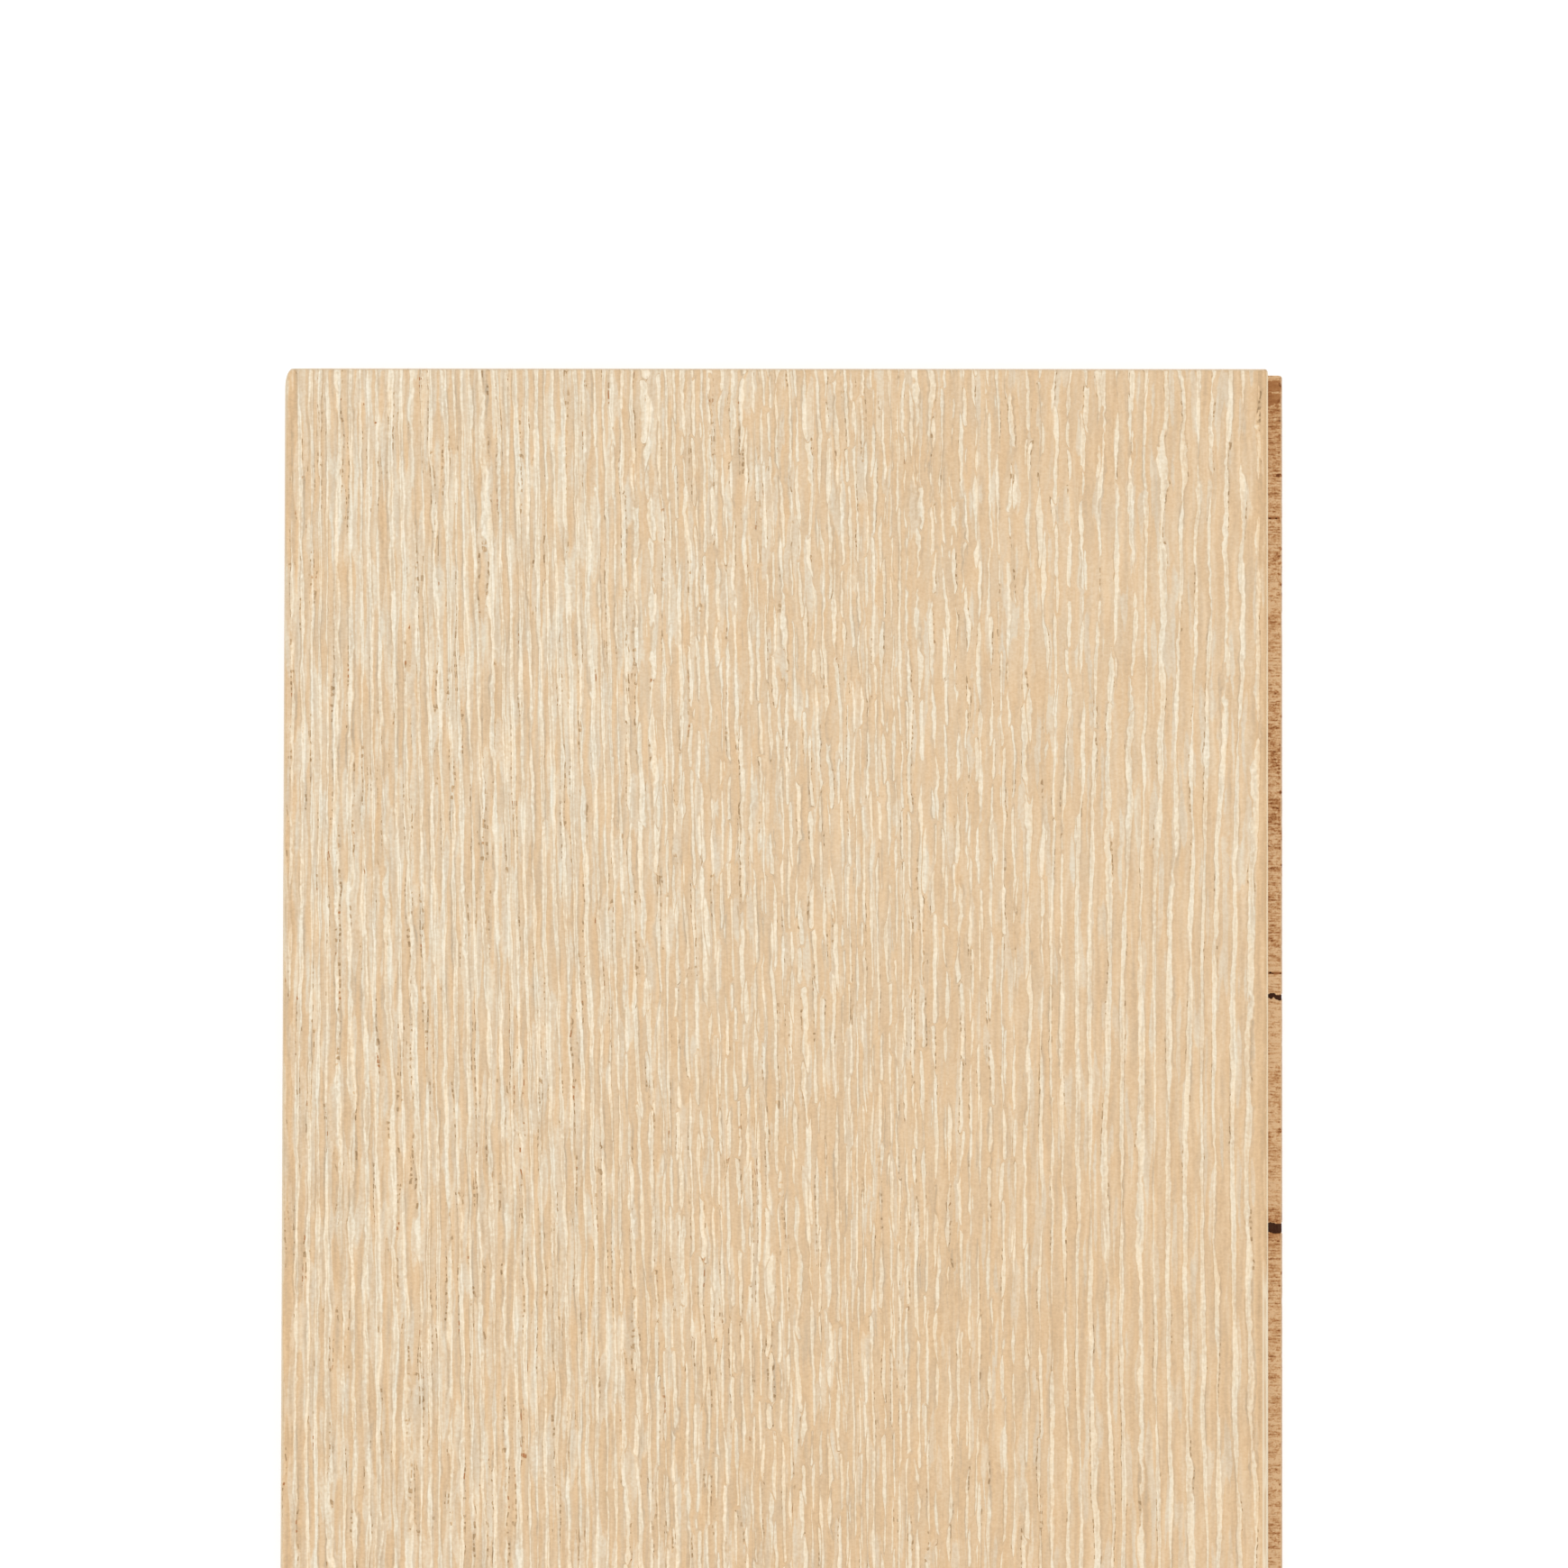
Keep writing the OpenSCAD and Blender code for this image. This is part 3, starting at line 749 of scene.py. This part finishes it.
        # single dark marks: place along the board, distance in from the outer edge, half length and half width
        for at, inset, hl, hw in MARKS:
            far = n.math("ADD", n.math("POWER", n.math("DIVIDE", n.sub(s, at), hl), 2.0), n.math("POWER", n.math("DIVIDE", n.sub(edge, inset), hw), 2.0))
            mark = n.step(n.add(far, n.mul(blot, 0.9)), 1.35, 0.65)
            val = n.sub(val, n.mul(mark, 0.40))
            arris = n.mul(arris, n.math("SUBTRACT", 1.0, mark))
        # brown lines at the two fine cracks
        for at, far_in in ((32.85, 0.55), (135.2, 0.15)):
            crack = n.mul(n.step(n.math("ABSOLUTE", n.add(n.sub(s, at), n.mul(speck, 0.06))), 0.34, 0.22), n.step(edge, far_in - 0.1, far_in + 0.1))
            val = n.math("MINIMUM", val, n.math("MULTIPLY_ADD", crack, -0.72, 1.0))
            arris = n.mul(arris, n.math("SUBTRACT", 1.0, crack))
        # darker beside the open joint and the split: crushed fibres, and painted shade at the edges of the gaps
        for at, half in ((JOINTS[0][0], 1.15), (SPLIT_AT, 0.7)):
            by = n.sub(n.math("ABSOLUTE", n.sub(s, at)), half)
            val = n.sub(val, n.mul(n.mul(n.step(by, 1.2, 0.1), n.step(blot, -0.4, 0.3)), 0.16))
    col = n.ramp(val, [(p, srgb(r, g, b)) for p, r, g, b in BROWN])
    if show_tongue:
        col = n.mix(n.mul(arris, 0.75), col, srgb(214, 182, 146))
    # dark glue where veneers meet, and on the glued faces that a gap lays open
    layer = n.math("DIVIDE", n.sub(Z_CORE, n.z), PLY_T)
    near = n.math("ROUND", layer)
    f = n.mul(n.math("ABSOLUTE", n.sub(layer, near)), PLY_T)
    glue = n.step(f, 0.07, 0.025)
    glue = n.mul(glue, n.math("LESS_THAN", near, 8.5))
    at_groove = n.mul(n.math("LESS_THAN", n.x, X_GROOVE - 0.05),
                      n.math("MAXIMUM", n.math("COMPARE", near, 1.0, 0.1), n.math("COMPARE", near, 5.0, 0.1)))
    glue = n.mul(glue, n.math("SUBTRACT", 1.0, at_groove))
    col = n.mix(n.mul(glue, 0.95), col, srgb(62, 33, 21))
    n.t.links.new(col, n.bsdf.inputs["Base Color"])
    n.t.links.new(n.step(line, -1.0, 1.0, 0.70, 0.84), n.bsdf.inputs["Roughness"])
    n.bsdf.inputs["Specular IOR Level"].default_value = 0.06
    n.bump(n.sub(n.add(n.mul(line, 0.5), n.mul(blot, 0.3)), pore), 0.06, 0.8)
    return n.mat


MARKS = [(23.2, 0.7, 0.45, 0.7), (39.7, 0.4, 0.4, 0.4), (43.0, 0.65, 0.35, 0.4), (45.4, 0.75, 0.3, 0.45), (47.8, 0.6, 0.5, 0.5),
         (77.4, 0.3, 0.35, 0.25), (94.5, 0.4, 0.4, 0.35), (110.8, 0.3, 0.3, 0.25), (128.0, 2.4, 0.3, 0.25),
         (170.7, 0.45, 0.45, 0.3), (195.3, 0.95, 0.15, 0.3), (195.2, 2.1, 0.15, 0.3), (202.5, 0.25, 0.35, 0.25)]
TONGUE_TONES = [(0.0, 0.62), (0.02, 0.56), (0.035, 0.44), (0.06, 0.42), (0.11, 0.54), (0.17, 0.62), (0.31, 0.56),
                (0.36, 0.42), (0.44, 0.48), (0.52, 0.57), (0.60, 0.68), (0.77, 0.66), (0.80, 0.48),
                (0.83, 0.54), (0.88, 0.62), (1.0, 0.66)]

face_mat = limed_oak("limed_oak_face", False)
bare_mat = limed_oak("bare_oak_sides", True)
PLY_TONES = [0.56, 0.69, 0.52, 0.60, 0.55, 0.63, 0.50, 0.61, 0.58]
ply_mats = [core_veneer("core_veneer_%d" % i, i % 2 == 0, 20 + 12 * i, PLY_TONES[i - 1], i == 2) for i in range(1, 10)]

# ------------------------------------------------------------------ pieces
wear = build_wear_layer([face_mat, bare_mat])
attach(wear, "root")
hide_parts("oak_wear_layer")

for i in range(1, 10):
    ply = build_ply(i, [ply_mats[i - 1]])
    if i == 2:
        # the split and the open joint: crooked prisms taken out of the veneer; and the pits of two finer cracks
        shapes = [split_outline(), joint_outline()]
        for x_mid, at, hx, hs in ((109.2, 32.9, 0.3, 0.13), (110.6, 32.9, 0.26, 0.13), (109.25, 135.1, 0.3, 0.22), (111.55, 135.25, 0.15, 0.14)):
            shapes.append([(x_mid + hx * math.cos(t) * (1 + 0.2 * math.cos(3 * t)), Y1 - at + hs * math.sin(t)) for t in [k * math.pi / 4 for k in range(8)]])
        shapes.append([(109.6, Y1 - 135.36), (110.05, Y1 - 135.34), (110.05, Y1 - 135.2), (109.6, Y1 - 135.16)])
        bmc = bmesh.new()
        for pts in shapes:
            z0, z1 = (Z_CORE - 2 * PLY_T - 0.4) * MM, (Z_CORE - PLY_T + 0.4) * MM
            low_v = [bmc.verts.new((x * MM, y * MM, z0)) for x, y in pts]
            top_v = [bmc.verts.new((x * MM, y * MM, z1)) for x, y in pts]
            bmc.faces.new(low_v)
            bmc.faces.new(top_v)
            for a in range(len(pts)):
                b = (a + 1) % len(pts)
                bmc.faces.new((low_v[a], low_v[b], top_v[b], top_v[a]))
        bmesh.ops.recalc_face_normals(bmc, faces=bmc.faces)
        cut_me = bpy.data.meshes.new("split_cutter")
        bmc.to_mesh(cut_me)
        bmc.free()
        cutter = bpy.data.objects.new("split_cutter", cut_me)
        bpy.context.scene.collection.objects.link(cutter)
        mod = ply.modifiers.new("split", "BOOLEAN")
        mod.operation = "DIFFERENCE"
        mod.solver = "EXACT"
        mod.object = cutter
        deps = bpy.context.evaluated_depsgraph_get()
        done = bpy.data.meshes.new_from_object(ply.evaluated_get(deps))
        ply.modifiers.clear()
        old = ply.data
        ply.data = done
        done.name = old.name + "_cut"
        bpy.data.meshes.remove(old)
        bpy.data.objects.remove(cutter)
        bpy.data.meshes.remove(cut_me)
        for p in ply.data.polygons:
            p.material_index = 0
    map_ply(ply, i)
    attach(ply, "root")
    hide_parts(PLY_NODES[i - 1])

# ------------------------------------------------------------------ floor, light, camera
floor_me = bpy.data.meshes.new("floor")
R = 90.0
floor_me.from_pydata([(R * math.cos(math.radians(3 * k)), R * math.sin(math.radians(3 * k)), 0) for k in range(120)], [], [tuple(range(120))])
floor = bpy.data.objects.new("floor", floor_me)
bpy.context.scene.collection.objects.link(floor)
fm = bpy.data.materials.new("pale_floor")
fm.use_nodes = True
fb = fm.node_tree.nodes["Principled BSDF"]
fb.inputs["Base Color"].default_value = (0.90, 0.90, 0.90, 1)
fb.inputs["Roughness"].default_value = 0.9
fb.inputs["Specular IOR Level"].default_value = 0.1
floor_me.materials.append(fm)

world = bpy.data.worlds.new("studio")
bpy.context.scene.world = world
world.use_nodes = True
world.node_tree.nodes["Background"].inputs[0].default_value = (1, 1, 1, 1)
world.node_tree.nodes["Background"].inputs[1].default_value = 0.80


# a broad softbox far overhead, even over the whole length of the board
sun = bpy.data.lights.new("key", "SUN")
sun.angle = math.radians(9.0)
sun.energy = 1.79
sun_ob = bpy.data.objects.new("key", sun)
sun_ob.location = (0, 0, 3)
sun_ob.rotation_euler = (math.radians(0.5), math.radians(1.0), 0)
bpy.context.scene.collection.objects.link(sun_ob)

cam_data = bpy.data.cameras.new("camera")
cam_data.lens = 66
cam_data.sensor_width = 36
cam_data.clip_start = 0.01
cam_data.clip_end = 100
cam = bpy.data.objects.new("camera", cam_data)
cam.location = (4.522 * MM, 999.495 * MM, 656.779 * MM)
cam.rotation_mode = "XYZ"
cam.rotation_euler = Euler((math.radians(0.67495), math.radians(0.40546), math.radians(0.10700)), "XYZ")
bpy.context.scene.collection.objects.link(cam)
bpy.context.scene.camera = cam

bpy.context.scene.view_settings.view_transform = "Standard"
bpy.context.scene.view_settings.look = "None"
